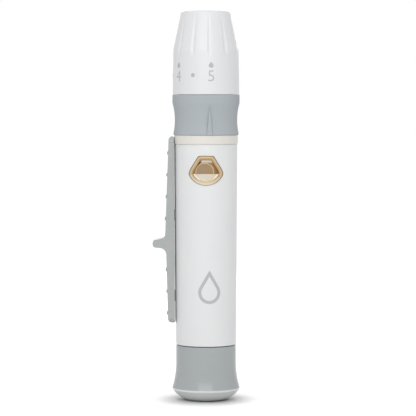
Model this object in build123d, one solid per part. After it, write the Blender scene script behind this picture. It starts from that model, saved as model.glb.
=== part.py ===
from build123d import *

import os
from math import cos, radians, sin

# A pen-shaped lancing device that stands on its cocking handle.
# Millimetres. +Z runs along the pen to the nose, the trigger faces -Y and the ejector slider -X.
# The origin is the centre of the flat foot under the handle.

# Driving dimensions

# Clearances
RUN = 0.05            # radial clearance of a sliding fit
GAP = 0.3             # air between pieces that pass each other
SEAM = 0.2            # open line between two casings that meet end to end

# Cocking handle, the flared rear end
HANDLE_LENGTH = 15.35
HANDLE_NECK_R = 8.3
HANDLE_RIM_R = 9.35
HANDLE_RIM_Z = 3.3
HANDLE_FLARE_Z = 10.6
HANDLE_DOME = 0.85        # how far the rounded foot bulges from a straight cone
HANDLE_FOOT_R = 3.9
HANDLE_WALL = 1.4
HANDLE_FLOOR = 2.4
RIM_ROUND = 0.5

# Barrel, the white tapered tube
BARREL_LENGTH = 55.5
BARREL_REAR_R = 8.35
BARREL_FRONT_R = 8.65
BARREL_BORE_R = 7.2
EDGE_ROUND = 0.25

# Neck sleeve with its visible ring
RING_HEIGHT = 2.5
RING_PROUD = 0.13     # how far the ring stands out of the barrel's front end
NECK_LENGTH = 7.3
NECK_R = 7.0
NECK_BORE_R = 5.85
NECK_TAIL = 2.0       # length of the sleeve that is pushed into the barrel
DETENT_HEIGHT = 1.2   # rubber ring that holds the collar on the neck
DETENT_DEPTH = 0.5
DETENT_Z = 2.6        # the ring's foot above the neck's foot

# Collar, the waisted grip ring that carries the nose cap
COLLAR_HEIGHT = 11.1
COLLAR_FOOT_R = 9.0
COLLAR_WAIST_R = 8.62
COLLAR_RIM_R = 9.27
COLLAR_RIM_HEIGHT = 2.3
COLLAR_RIM_ROUND = 0.6
COLLAR_LIP = 0.5         # straight foot below the waist
COLLAR_WAIST_Z = 4.6
SPIGOT_R = 7.5
SPIGOT_BORE_R = 6.4
SPIGOT_HEIGHT = 7.0
POINTER_ANGLE = 6.5   # degrees from the front towards +X
POINTER_WIDTH = 1.9
POINTER_HEIGHT = 8.5
POINTER_R = 9.12

# Nose cap, which is also the depth dial
CAP_LENGTH = 22.9
CAP_BASE_R = 9.2
CAP_SHOULDER_R = 9.0
CAP_SHOULDER_Z = 12.2  # shoulder height above the cap's lower edge
CAP_NOSE_R = 6.8
CAP_WALL = 1.3
CAP_FACE = 1.5         # thickness of the nose
NOSE_HOLE_R = 2.2
NOSE_DISH_R = 4.6
NOSE_DISH_DEPTH = 0.6
SHOULDER_ROUND = 3.0
NOSE_ROUND = 0.8
FLUTES = 12
FLUTE_R = 0.9
FLUTE_DEPTH = 0.1
FLUTE_TOP = 3.2        # distance of the flutes' upper end below the nose
FLUTE_FOOT = 1.6       # how far the flutes run below the shoulder

# Depth setting: the cap climbs the spigot on two pins in two helical grooves
DIAL_TURN = 256.0      # degrees from setting 5 to setting 1
DIAL_RISE = 1.6
PIN_R = 0.42
PIN_ANGLES = (0.0, 180.0)
TONGUE_ANGLES = (90.0, 270.0)
GROOVE_SPARE = 6.0     # degrees that a groove runs past the pins' travel, at each end
PIN_HEIGHT = 4.4       # height of the pins above the cap's lower edge
CLICK_RING_HEIGHT = 1.2
CLICK_RING_Z = 1.5     # height of the click ring above the cap's lower edge
CLICK_RING_WALL = 0.55
CLICK_TONGUE_WIDTH = 1.6
CLICK_TONGUE_DEPTH = 0.5

# Trigger button and the keyhole plate behind it
TRIGGER_FROM_FRONT = 7.15  # its middle below the barrel's front end
TRIGGER_TOP_HALF = 2.1
TRIGGER_WIDE_HALF = 4.95
TRIGGER_TOP = 4.07
TRIGGER_WIDE = -0.6
TRIGGER_BOTTOM = -4.07
TRIGGER_CORNER = 0.7
TRIGGER_SIDE_ROUND = 1.7
TRIGGER_PROUD = 0.32
TRIGGER_EDGE = 0.3
TRIGGER_DEPTH = 1.0        # thickness of the button's skirt under the barrel's bore
TRIGGER_FLANGE = 0.7       # how far the skirt reaches past the window
TRIGGER_RIM = 1.05         # width of the raised rim
TRIGGER_DISH = 0.9         # depth of the well inside the rim
TRIGGER_SHELF = 0.4        # depth of the shelf in the well's lower part
TRIGGER_LEDGE = -0.9       # height of the shelf's edge above the button's middle
TRIGGER_SKIN = 0.8         # thickness of the well's floor over the eye
TRIGGER_EYE_R = 2.75       # round boss behind the dish
TRIGGER_TRAVEL = 1.2
SEAR_THICKNESS = 1.6
SEAR_WIDTH = 7.6
SEAR_BACK = 4.4            # reach of the plate behind the axis

# Lancet carrier
SOCKET_R = 3.05
SOCKET_DEPTH = 9.0
SOCKET_WALL = 1.1
SOCKET_STAND_OUT = 7.5     # how far the socket stands out of the neck
STEM_R = 2.55
LATCH_DEPTH = 0.6          # depth of the groove that the sear drops into
TAIL_R = 1.25
FLANGE_R = 3.9
FLANGE_HEIGHT = 2.0
KNOB_R = 2.7
KNOB_HEIGHT = 2.4

# Strokes
COCK_STROKE = 5.0
STRIKE_STROKE = 2.5
EJECT_STROKE = 7.0

# Pull tube, bush and spring washer on the pen's axis
PULL_TUBE_R = 4.2
PULL_TUBE_WALL = 1.1
PULL_HEAD_R = 6.2
PULL_HEAD_HEIGHT = 1.5
BUSH_INSET = 1.5
BUSH_LENGTH = 5.0
WASHER_R = 5.6
WASHER_HEIGHT = 1.2

# Ejector slider
SLIDER_WIDTH = 4.8
SLIDER_REAR_INSET = 6.0    # its lower end above the barrel's rear end
SLIDER_TOP_OVER_BARREL = 2.15
SLIDER_CLEAR_FRONT = 0.25  # inner face off the barrel's front radius, at its upper end
SLIDER_CLEAR_REAR = 0.25757  # inner face off the tapered barrel, at its lower end
RELIEF_DEPTH = 0.25        # groove in its upper end, which passes the collar's foot
RELIEF_WIDTH = 3.8
SLIDER_TOP_OUT = 1.65      # its outer face off the barrel's front radius, from the top down
SLIDER_MID_OUT = 2.65
SLIDER_LOWER_OUT = 2.35
SLIDER_FOOT_OUT = 1.85
SLIDER_ROUND = 0.6
SLIDER_END_ROUND = 1.2
SLIDER_CORNER = 1.4        # round of its four corners, seen from its own side
RAIL_WIDTH = 0.8           # rail on the barrel that the slider runs on
RAIL_Y = 1.75              # its middle, beside the slots
RAIL_PROUD = 0.15          # how far it stands out of the barrel's side
TAB_Z = 22.2               # middle of the thumb tab above the slider's lower end
TAB_OUT = 6.1              # the tab's tip off the barrel's front radius
TAB_THICKNESS = 3.0
TAB_TIP = 1.9              # thickness at its tip, which hangs a little
TAB_TIP_DROP = 0.3
TAB_UPPER_FILLET = 1.0
TAB_LOWER_FILLET = 2.0
BUMP_R = 0.6
BUMP_PROUD = 0.32
BUMPS_ABOVE = 4
BUMPS_BELOW = 3
BUMP_FIRST_ABOVE = 6.7     # distance of the nearest bump above the tab's middle
BUMP_FIRST_BELOW = 7.4
BUMP_LAST_ABOVE = 4.6      # distance of the last bump from the slider's upper end
BUMP_LAST_BELOW = 2.7
STEM_WIDTH = 1.8
STEM_HEIGHT = 3.0
STEM_BELOW_FRONT = 18.0    # the slider's stem, below the barrel's front end
PEG_BOTTOM_Z = 6.0         # the slider's rear peg above its lower end
CLIP_WALL = 0.7
CLIP_SPREAD = 44.0         # degrees of the clip's arc
CLIP_LIP = 1.2             # the clip above and below the peg
ARM_WALL = 0.7
ARM_SPREAD = 52.0          # degrees of the ejector arm's arc
ARM_BELOW_SOCKET = 3.5     # the arm's tip below the socket's mouth
ARM_LIP = 1.0              # the arm's foot below the stem

# Springs: wire diameter, mean radius and turns
DRIVE_WIRE = 0.6
DRIVE_COIL_R = 3.2
DRIVE_TURNS = 6
RETURN_WIRE = 0.35
RETURN_COIL_R = 2.1
RETURN_TURNS = 4
RETURN_LENGTH = 5.0
HANDLE_WIRE = 0.6
HANDLE_COIL_R = 5.1
HANDLE_TURNS = 6
EJECT_WIRE = 0.2
EJECT_COIL_R = 0.55
EJECT_TURNS = 9
TRIGGER_WIRE = 0.2
TRIGGER_COIL_R = 0.6
TRIGGER_TURNS = 4
SPRING_SIDES = 6
DRIVE_LENGTH = 13.2

# Heights, worked out from the dimensions above

handle_top = HANDLE_LENGTH
barrel_bottom = handle_top + SEAM
barrel_top = barrel_bottom + BARREL_LENGTH
ring_top = barrel_top + RING_HEIGHT
neck_top = ring_top + NECK_LENGTH
collar_bottom = ring_top
collar_top = collar_bottom + COLLAR_HEIGHT
cap_bottom = collar_top + SEAM / 2
cap_top = cap_bottom + CAP_LENGTH
spigot_top = collar_top + SPIGOT_HEIGHT
trigger_z = barrel_top - TRIGGER_FROM_FRONT
sear_bottom = trigger_z - SEAR_THICKNESS / 2
socket_mouth = neck_top + SOCKET_STAND_OUT
socket_floor = socket_mouth - SOCKET_DEPTH
flange_top = sear_bottom - STRIKE_STROKE - GAP
flange_bottom = flange_top - FLANGE_HEIGHT
washer_top = flange_bottom - DRIVE_LENGTH
head_top = washer_top - WASHER_HEIGHT
head_bottom = head_top - PULL_HEAD_HEIGHT
bush_bottom = barrel_bottom + BUSH_INSET
bush_top = bush_bottom + BUSH_LENGTH
knob_top = head_bottom - RETURN_LENGTH
knob_bottom = knob_top - KNOB_HEIGHT
pull_tube_bore_r = PULL_TUBE_R - PULL_TUBE_WALL
pull_tube_floor = knob_bottom - COCK_STROKE - 3 * GAP
slider_top = barrel_top + SLIDER_TOP_OVER_BARREL
slider_bottom = barrel_bottom + SLIDER_REAR_INSET
slider_length = slider_top - slider_bottom
slider_relief_z = collar_bottom - EJECT_STROKE - GAP
rail_low_r = BARREL_REAR_R + (BARREL_FRONT_R - BARREL_REAR_R) * SLIDER_REAR_INSET / BARREL_LENGTH
rail_root_x = (BARREL_REAR_R + BARREL_BORE_R) / 2
ring_r = BARREL_FRONT_R + RING_PROUD
slider_inner_x = BARREL_FRONT_R + SLIDER_CLEAR_FRONT
slider_inner_low_x = rail_low_r + SLIDER_CLEAR_REAR
slider_top_x = BARREL_FRONT_R + SLIDER_TOP_OUT
slider_mid_x = BARREL_FRONT_R + SLIDER_MID_OUT
slider_lower_x = BARREL_FRONT_R + SLIDER_LOWER_OUT
slider_foot_x = BARREL_FRONT_R + SLIDER_FOOT_OUT
tab_x = BARREL_FRONT_R + TAB_OUT
stem_top = barrel_top - STEM_BELOW_FRONT
stem_bottom = stem_top - STEM_HEIGHT
peg_bottom = slider_bottom + PEG_BOTTOM_Z
clip_outer_r = BARREL_BORE_R - RUN
clip_inner_r = clip_outer_r - CLIP_WALL
arm_outer_r = NECK_BORE_R - GAP
arm_inner_r = arm_outer_r - ARM_WALL
arm_top = socket_mouth - ARM_BELOW_SOCKET
cap_bore_r = SPIGOT_R + 3 * RUN
pointer_turn = POINTER_ANGLE - 90.0
bury_r = (COLLAR_WAIST_R + NECK_R) / 2
trigger_face_r = BARREL_FRONT_R + TRIGGER_PROUD
trigger_back_y = -(BARREL_BORE_R - RUN - TRIGGER_DEPTH - TRIGGER_TRAVEL / 2)
trigger_eye_y = -(trigger_face_r - TRIGGER_DISH - TRIGGER_SKIN)


def tube(outer_r, inner_r, low, high):
    """A round wall between two heights."""
    height = high - low
    wall = Cylinder(outer_r, height) - Cylinder(inner_r, 3 * height)
    return Pos(0, 0, (low + high) / 2) * wall


def rod(radius, low, high):
    """A plain round bar on the axis."""
    return Pos(0, 0, (low + high) / 2) * Cylinder(radius, high - low)


def rounded(face, *corners):
    """A flat outline with some corners rounded; a corner is a point and its radius."""
    for point, radius in corners:
        vertex = face.vertices().sort_by_distance((*point, 0))[0]
        face = fillet(vertex, radius)
    return face


def turned(face):
    """A half section, drawn as radius and height, turned about the pen's axis."""
    return revolve(Plane.XZ * face, Axis.Z)


def outline(*points):
    return make_face(Polyline(*points, close=True))


def coil(wire, mean_r, turns, low, high):
    """An open spring along Z that fills the space from low to high."""
    pitch = (high - low - wire) / turns
    path = Pos(0, 0, low + wire / 2) * Helix(pitch, pitch * turns, mean_r)
    section = Plane(path @ 0, z_dir=path % 0) * RegularPolygon(wire / 2, SPRING_SIDES)
    return sweep(section, path, is_frenet=True)


def trigger_outline(grow=0.0):
    """The button's outline in X and Z, round its own middle, grown by a margin."""
    top_left = (-TRIGGER_TOP_HALF, TRIGGER_TOP)
    top_right = (TRIGGER_TOP_HALF, TRIGGER_TOP)
    right = (TRIGGER_WIDE_HALF, TRIGGER_WIDE)
    left = (-TRIGGER_WIDE_HALF, TRIGGER_WIDE)
    edges = [Line(left, top_left), Line(top_left, top_right), Line(top_right, right)]
    edges.append(ThreePointArc(right, (0, TRIGGER_BOTTOM), left))
    face = rounded(make_face(Curve() + edges), (top_left, TRIGGER_CORNER), (top_right, TRIGGER_CORNER),
                   (left, TRIGGER_SIDE_ROUND), (right, TRIGGER_SIDE_ROUND))
    return offset(face, grow) if grow else face


def facing_front(sketch, near, far):
    """A sketch drawn in X and Z at the trigger, pushed along Y from near to far."""
    plane = Plane(origin=(0, far, trigger_z), x_dir=(1, 0, 0), z_dir=(0, -1, 0))
    return extrude(plane * sketch, far - near)


def trigger_slab(radius):
    """A round bar that covers the trigger's height."""
    reach = TRIGGER_TOP + 2 * TRIGGER_FLANGE
    return rod(radius, trigger_z - reach, trigger_z + reach)


# Casing


def make_barrel():
    front, rear = (BARREL_FRONT_R, barrel_top), (BARREL_REAR_R, barrel_bottom)
    face = outline(rear, front, (BARREL_BORE_R, barrel_top), (BARREL_BORE_R, barrel_bottom))
    body = turned(rounded(face, (front, EDGE_ROUND), (rear, EDGE_ROUND)))
    window = facing_front(trigger_outline(RUN), -2 * BARREL_FRONT_R, 0)
    slot_height = STEM_HEIGHT + EJECT_STROKE + 2 * GAP
    slot = Box(BARREL_FRONT_R, STEM_WIDTH + 2 * GAP, slot_height,
               align=(Align.MAX, Align.CENTER, Align.MIN))
    slots = [Pos(-BARREL_BORE_R / 2, 0, low - GAP) * slot for low in (stem_bottom, peg_bottom)]
    rail = outline((-rail_root_x, slider_bottom), (-rail_low_r - RAIL_PROUD, slider_bottom),
                   (-BARREL_FRONT_R - RAIL_PROUD, barrel_top), (-rail_root_x, barrel_top))
    rail = extrude(Plane.XZ * rail, RAIL_WIDTH / 2, both=True)
    return body + Pos(0, RAIL_Y, 0) * rail - window - slots


def make_neck_sleeve():
    low, high = (ring_r, barrel_top), (ring_r, ring_top)
    ring = outline((NECK_BORE_R, barrel_top), low, high, (NECK_BORE_R, ring_top))
    ring = turned(rounded(ring, (low, EDGE_ROUND), (high, EDGE_ROUND)))
    tail = tube(BARREL_BORE_R, NECK_BORE_R, barrel_top - NECK_TAIL, barrel_top)
    return ring + tail + tube(NECK_R, NECK_BORE_R, ring_top, neck_top) - make_detent_ring()


def make_rear_bush():
    return tube(BARREL_BORE_R, PULL_TUBE_R + RUN, bush_bottom, bush_top)


def make_detent_ring():
    low = ring_top + DETENT_Z
    return tube(NECK_R, NECK_R - DETENT_DEPTH, low, low + DETENT_HEIGHT)


# Collar and nose cap


def make_collar():
    bore_r = NECK_R + RUN
    foot, waist_z = (COLLAR_FOOT_R, collar_bottom + COLLAR_LIP), collar_bottom + COLLAR_WAIST_Z
    rim_low, rim_high = (COLLAR_RIM_R, collar_top - COLLAR_RIM_HEIGHT), (COLLAR_RIM_R, collar_top)
    ledge = neck_top + GAP
    walls = Polyline(rim_low, rim_high, (SPIGOT_R, collar_top), (SPIGOT_R, spigot_top),
                     (SPIGOT_BORE_R, spigot_top), (SPIGOT_BORE_R, ledge), (bore_r, ledge),
                     (bore_r, collar_bottom), (COLLAR_FOOT_R, collar_bottom), foot)
    face = make_face(walls + ThreePointArc(foot, (COLLAR_WAIST_R, waist_z), rim_low))
    body = turned(rounded(face, (rim_high, EDGE_ROUND), (rim_low, COLLAR_RIM_ROUND)))
    return body + make_pointer() - helical_grooves() - tongue_slots()


def make_pointer():
    """The raised arrow that marks the chosen depth."""
    half = POINTER_WIDTH / 2
    arrow = outline((-half, 0), (half, 0), (0, POINTER_HEIGHT))
    plane = Plane(origin=(0, -bury_r, collar_bottom), x_dir=(1, 0, 0), z_dir=(0, -1, 0))
    wedge = extrude(plane * arrow, POINTER_R) & rod(POINTER_R, collar_bottom, collar_top)
    return Rot(0, 0, POINTER_ANGLE) * wedge


def helical_grooves():
    """Two grooves round the spigot that the cap's pins climb in."""
    spare = GROOVE_SPARE / 360.0
    turn = DIAL_TURN / 360.0 + 2 * spare
    pitch = DIAL_RISE * 360.0 / DIAL_TURN
    path = Helix(pitch, pitch * turn, SPIGOT_R)
    section = Plane(path @ 0, z_dir=path % 0) * Circle(PIN_R + 2 * RUN)
    groove = sweep(section, path, is_frenet=True)
    start = Pos(0, 0, cap_bottom + PIN_HEIGHT - pitch * spare) * Rot(0, 0, -GROOVE_SPARE)
    return [start * Rot(0, 0, turn_to) * groove for turn_to in PIN_ANGLES]


def tongue_slots():
    """Two slots down the spigot that keep the click ring from turning."""
    low = cap_bottom + CLICK_RING_Z - GAP
    slot = Box(2 * (CLICK_TONGUE_DEPTH + RUN), CLICK_TONGUE_WIDTH + 4 * RUN,
               CLICK_RING_HEIGHT + DIAL_RISE + 2 * GAP, align=(Align.CENTER, Align.CENTER, Align.MIN))
    return [Rot(0, 0, turn_to) * Pos(SPIGOT_R, 0, low) * slot for turn_to in TONGUE_ANGLES]


def make_click_ring():
    low = cap_bottom + CLICK_RING_Z
    inner_r = SPIGOT_R + 2 * RUN
    ring = tube(inner_r + CLICK_RING_WALL, inner_r, low, low + CLICK_RING_HEIGHT)
    reach = CLICK_TONGUE_DEPTH + 2 * RUN + CLICK_RING_WALL / 2
    tongue = Box(reach, CLICK_TONGUE_WIDTH, CLICK_RING_HEIGHT,
                 align=(Align.MIN, Align.CENTER, Align.MIN))
    for turn_to in TONGUE_ANGLES:
        ring += Rot(0, 0, turn_to) * Pos(SPIGOT_R - CLICK_TONGUE_DEPTH, 0, low) * tongue
    return ring


def make_depth_cap():
    shoulder = (CAP_SHOULDER_R, cap_bottom + CAP_SHOULDER_Z)
    nose, base = (CAP_NOSE_R, cap_top), (CAP_BASE_R, cap_bottom)
    inner_nose = (CAP_NOSE_R - CAP_WALL, cap_top - CAP_FACE)
    face = outline(base, shoulder, nose, (NOSE_DISH_R, cap_top),
                   (NOSE_HOLE_R, cap_top - NOSE_DISH_DEPTH), (NOSE_HOLE_R, cap_top - CAP_FACE),
                   inner_nose, (cap_bore_r, cap_bottom + CAP_SHOULDER_Z), (cap_bore_r, cap_bottom))
    face = rounded(face, (shoulder, SHOULDER_ROUND), (nose, NOSE_ROUND), (base, EDGE_ROUND))
    cap = turned(face) - flutes() - click_groove()
    for turn_to in PIN_ANGLES:
        cap += Rot(0, 0, turn_to) * make_pin()
    return cap


def flutes():
    """Shallow grip flutes over the cap's shoulder that run out at both ends."""
    shoulder_z = cap_bottom + CAP_SHOULDER_Z
    high, low = cap_top - FLUTE_TOP, shoulder_z - FLUTE_FOOT
    slope = (CAP_SHOULDER_R - CAP_NOSE_R) / (cap_top - shoulder_z)
    stand_off = FLUTE_R - FLUTE_DEPTH
    upper = Vector(CAP_NOSE_R + slope * FLUTE_TOP + stand_off, 0, high)
    lower = Vector(CAP_SHOULDER_R + stand_off, 0, low)
    along = upper - lower
    cutter = Plane((upper + lower) / 2, z_dir=along) * Cylinder(FLUTE_R, 2 * along.length)
    step = 360.0 / FLUTES
    return [Rot(0, 0, pointer_turn + step * n) * cutter for n in range(FLUTES)]


def click_groove():
    """The groove inside the cap that carries the click ring along."""
    low = cap_bottom + CLICK_RING_Z
    return tube(SPIGOT_R + 3 * RUN + CLICK_RING_WALL, SPIGOT_R, low - RUN,
                low + CLICK_RING_HEIGHT + RUN)


def make_pin():
    """A ball-ended pin on the cap's inner wall."""
    stalk = Cylinder(PIN_R, 2 * PIN_R, rotation=(0, 90, 0), align=(Align.CENTER, Align.CENTER, Align.MIN))
    return Pos(SPIGOT_R, 0, cap_bottom + PIN_HEIGHT) * (Sphere(PIN_R) + stalk)


# Cocking handle


def make_handle():
    top, flare = (HANDLE_NECK_R, handle_top), (HANDLE_NECK_R, HANDLE_FLARE_Z)
    rim, foot = (HANDLE_RIM_R, HANDLE_RIM_Z), (HANDLE_FOOT_R, 0)
    inner_r = HANDLE_NECK_R - HANDLE_WALL
    sides = [TangentArc(flare, rim, tangent=(0, -1)), SagittaArc(rim, foot, HANDLE_DOME)]
    walls = Polyline(foot, (0, 0), (0, HANDLE_FLOOR), (inner_r, HANDLE_FLOOR),
                     (inner_r, handle_top), top, flare)
    face = make_face(walls + sides)
    body = turned(rounded(face, (rim, RIM_ROUND), (top, EDGE_ROUND)))
    return body + tube(PULL_TUBE_R + HANDLE_WALL, PULL_TUBE_R, HANDLE_FLOOR, HANDLE_FLARE_Z)


def make_pull_tube():
    shaft = rod(PULL_TUBE_R, HANDLE_FLOOR, head_bottom) + rod(PULL_HEAD_R, head_bottom, head_top)
    bore = rod(pull_tube_bore_r, pull_tube_floor, head_bottom)
    return shaft - bore - rod(TAIL_R + GAP, head_bottom - GAP, head_top + GAP)


def make_spring_washer():
    return tube(WASHER_R, TAIL_R + GAP, head_top, washer_top)


# Lancet carrier


def make_lancet_carrier():
    base = socket_floor - SOCKET_WALL
    body = rod(SOCKET_R + SOCKET_WALL, base, socket_mouth) + rod(STEM_R, flange_top, base)
    body += rod(FLANGE_R, flange_bottom, flange_top) + rod(TAIL_R, knob_top, flange_bottom)
    body += rod(KNOB_R, knob_bottom, knob_top)
    latch_z, half = trigger_z + COCK_STROKE, SEAR_THICKNESS / 2 + RUN
    latch = tube(2 * STEM_R, STEM_R - LATCH_DEPTH, latch_z - half, latch_z + half)
    return body - rod(SOCKET_R, socket_floor, socket_mouth + GAP) - latch


# Trigger


def make_trigger_button():
    front, back = -2 * trigger_face_r, trigger_back_y
    post = facing_front(trigger_outline(-RUN), front, back) & trigger_slab(trigger_face_r)
    post = fillet(post.faces().sort_by(Axis.Y)[0].edges(), TRIGGER_EDGE)
    skirt = facing_front(trigger_outline(TRIGGER_FLANGE), front, back)
    button = post + (skirt & trigger_slab(BARREL_BORE_R - RUN))
    well = trigger_outline(-TRIGGER_RIM)
    above_ledge = Pos(0, TRIGGER_LEDGE) * Rectangle(4 * TRIGGER_WIDE_HALF, 2 * TRIGGER_TOP,
                                                    align=(Align.CENTER, Align.MIN))
    shallow = facing_front(well, front, back) - trigger_slab(trigger_face_r - TRIGGER_SHELF)
    deep = facing_front(well & above_ledge, front, back)
    deep -= trigger_slab(trigger_face_r - TRIGGER_DISH)
    eye = facing_front(Circle(TRIGGER_EYE_R), trigger_eye_y, back + GAP)
    return button - shallow - deep - eye


def make_sear_plate():
    plate = Box(SEAR_WIDTH, SEAR_BACK - trigger_back_y, SEAR_THICKNESS,
                align=(Align.CENTER, Align.MIN, Align.CENTER))
    hole = SlotCenterToCenter(TRIGGER_TRAVEL, 2 * (STEM_R + GAP), rotation=90)
    keyhole = extrude(Pos(0, -TRIGGER_TRAVEL / 2) * hole, SEAR_THICKNESS, both=True)
    return Pos(0, 0, trigger_z) * (Pos(0, trigger_back_y, 0) * plate - keyhole)


# Ejector


def make_slider():
    tab_z = slider_bottom + TAB_Z
    tab_low, tab_high = tab_z - TAB_THICKNESS / 2, tab_z + TAB_THICKNESS / 2
    top, foot = (-slider_top_x, slider_top), (-slider_foot_x, slider_bottom)
    upper, lower = (-slider_mid_x, tab_high), (-slider_lower_x, tab_low)
    tip_z = tab_z - TAB_TIP_DROP
    tip_high, tip_low = (-tab_x, tip_z + TAB_TIP / 2), (-tab_x, tip_z - TAB_TIP / 2)
    face = outline((-slider_inner_low_x, slider_bottom), (-slider_inner_x, slider_top), top, upper,
                   tip_high, tip_low, lower, foot)
    tip_round = TAB_TIP / 2 - RUN
    face = rounded(face, (upper, TAB_UPPER_FILLET), (lower, TAB_LOWER_FILLET),
                   (tip_high, tip_round), (tip_low, tip_round),
                   (top, SLIDER_END_ROUND), (foot, SLIDER_END_ROUND))
    body = extrude(Plane.XZ * face, SLIDER_WIDTH / 2, both=True)
    sides = body.faces().filter_by(Axis.Y)
    inner_x = -slider_inner_x - RUN
    body = fillet([edge for edge in sides.edges() if edge.center().X < inner_x], SLIDER_ROUND)
    blank = Plane.YZ * RectangleRounded(SLIDER_WIDTH, slider_length, SLIDER_CORNER)
    body &= Pos(0, 0, (slider_top + slider_bottom) / 2) * extrude(blank, -2 * tab_x)
    relief = Box(2 * RELIEF_DEPTH, RELIEF_WIDTH, 2 * (slider_top - slider_relief_z))
    body -= Pos(-slider_inner_x, 0, slider_top) * relief
    return body + slider_bumps() + stem(arm_inner_r, stem_bottom) + stem(clip_inner_r, peg_bottom)


def stem(end_x, low):
    """A stem of the slider that reaches through the barrel's wall."""
    bar = Box(slider_inner_x - end_x, STEM_WIDTH, STEM_HEIGHT,
              align=(Align.MIN, Align.CENTER, Align.MIN))
    return Pos(-slider_inner_x, 0, low) * bar


def slider_face_x(height):
    """How far the slider's outer face stands from the axis at a height above its lower end."""
    tab_low, tab_high = TAB_Z - TAB_THICKNESS / 2, TAB_Z + TAB_THICKNESS / 2
    if height < TAB_Z:
        return slider_foot_x + (slider_lower_x - slider_foot_x) * height / tab_low
    share = (height - tab_high) / (slider_length - tab_high)
    return slider_mid_x + (slider_top_x - slider_mid_x) * share


def spread_evenly(first, last, count):
    return [first + (last - first) * n / (count - 1) for n in range(count)]


def slider_bumps():
    """Grip bars across the slider's outer face, above and below the tab."""
    first, last = TAB_Z + BUMP_FIRST_ABOVE, slider_length - BUMP_LAST_ABOVE
    heights = spread_evenly(first, last, BUMPS_ABOVE)
    heights += spread_evenly(BUMP_LAST_BELOW, TAB_Z - BUMP_FIRST_BELOW, BUMPS_BELOW)
    bar = Cylinder(BUMP_R, SLIDER_WIDTH - 2 * SLIDER_ROUND, rotation=(90, 0, 0))
    return [Pos(-slider_face_x(height) + BUMP_R - BUMP_PROUD, 0, slider_bottom + height) * bar
            for height in heights]


def curved_strip(wall, spread, stem_low):
    """A part of a tube's wall on the slider's side, with a pocket for a stem."""
    reach = 2 * BARREL_BORE_R
    half = radians(spread / 2)
    wedge = outline((0, 0), (-reach * cos(half), reach * sin(half)),
                    (-reach * cos(half), -reach * sin(half)))
    pocket = Box(reach, STEM_WIDTH, STEM_HEIGHT, align=(Align.MAX, Align.CENTER, Align.MIN))
    return (wall & extrude(wedge, cap_top)) - Pos(0, 0, stem_low) * pocket


def make_ejector_arm():
    """The strip beside the carrier that pushes the used lancet out."""
    wall = tube(arm_outer_r, arm_inner_r, stem_bottom - ARM_LIP, arm_top)
    return curved_strip(wall, ARM_SPREAD, stem_bottom)


def make_slider_clip():
    """The strip inside the barrel that keeps the slider's rear end on."""
    high = peg_bottom + STEM_HEIGHT + CLIP_LIP
    wall = tube(clip_outer_r, clip_inner_r, peg_bottom - CLIP_LIP, high)
    return curved_strip(wall, CLIP_SPREAD, peg_bottom)


# Springs


def make_springs():
    eject_x = -(BARREL_BORE_R + arm_outer_r) / 2
    eject = coil(EJECT_WIRE, EJECT_COIL_R, EJECT_TURNS, stem_top, barrel_top - NECK_TAIL)
    trigger = coil(TRIGGER_WIRE, TRIGGER_COIL_R, TRIGGER_TURNS, 0, BARREL_BORE_R - RUN - SEAR_BACK)
    return {
        "drive_spring": coil(DRIVE_WIRE, DRIVE_COIL_R, DRIVE_TURNS, washer_top, flange_bottom),
        "return_spring": coil(RETURN_WIRE, RETURN_COIL_R, RETURN_TURNS, knob_top, head_bottom),
        "handle_spring": coil(HANDLE_WIRE, HANDLE_COIL_R, HANDLE_TURNS, bush_top, head_bottom),
        "ejector_spring": Pos(eject_x, 0, 0) * eject,
        "trigger_spring": Pos(0, SEAR_BACK, trigger_z) * Rot(-90, 0, 0) * trigger,
    }


def main():
    os.makedirs("parts", exist_ok=True)
    pieces = {
        "barrel": make_barrel(),
        "neck_sleeve": make_neck_sleeve(),
        "rear_bush": make_rear_bush(),
        "detent_ring": make_detent_ring(),
        "collar": make_collar(),
        "click_ring": make_click_ring(),
        "depth_cap": make_depth_cap(),
        "handle": make_handle(),
        "pull_tube": make_pull_tube(),
        "spring_washer": make_spring_washer(),
        "lancet_carrier": make_lancet_carrier(),
        "trigger_button": make_trigger_button(),
        "sear_plate": make_sear_plate(),
        "slider": make_slider(),
        "ejector_arm": make_ejector_arm(),
        "slider_clip": make_slider_clip(),
        **make_springs(),
    }
    for name, piece in pieces.items():
        export_step(piece, f"parts/{name}.step")


main()
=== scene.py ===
import bpy
import bmesh
from math import acos, asin, atan2, cos, degrees, pi, radians, sin, sqrt, tan
from mathutils import Matrix, Vector


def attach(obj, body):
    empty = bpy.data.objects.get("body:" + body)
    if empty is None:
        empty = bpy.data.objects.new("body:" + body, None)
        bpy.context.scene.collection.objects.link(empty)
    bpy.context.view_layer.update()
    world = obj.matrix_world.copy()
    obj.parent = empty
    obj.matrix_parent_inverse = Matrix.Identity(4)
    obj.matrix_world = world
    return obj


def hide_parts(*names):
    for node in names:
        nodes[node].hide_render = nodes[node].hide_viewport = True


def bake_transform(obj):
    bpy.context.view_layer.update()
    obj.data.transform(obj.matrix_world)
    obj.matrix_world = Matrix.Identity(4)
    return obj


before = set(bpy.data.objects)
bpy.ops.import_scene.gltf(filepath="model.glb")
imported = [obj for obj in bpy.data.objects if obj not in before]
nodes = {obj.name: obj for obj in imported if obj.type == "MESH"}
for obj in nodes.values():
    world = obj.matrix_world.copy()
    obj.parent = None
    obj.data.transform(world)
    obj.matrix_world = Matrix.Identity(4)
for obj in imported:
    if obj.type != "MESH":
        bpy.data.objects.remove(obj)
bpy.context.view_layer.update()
mm = 0.001
print("frame in:", len(nodes), "nodes")


# helpers for node trees

def linear(code):
    # sRGB hex to the linear colour the sockets want
    channels = [int(code[i:i + 2], 16) / 255 for i in (0, 2, 4)]
    return [c / 12.92 if c <= 0.04045 else ((c + 0.055) / 1.055) ** 2.4 for c in channels] + [1.0]


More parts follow.
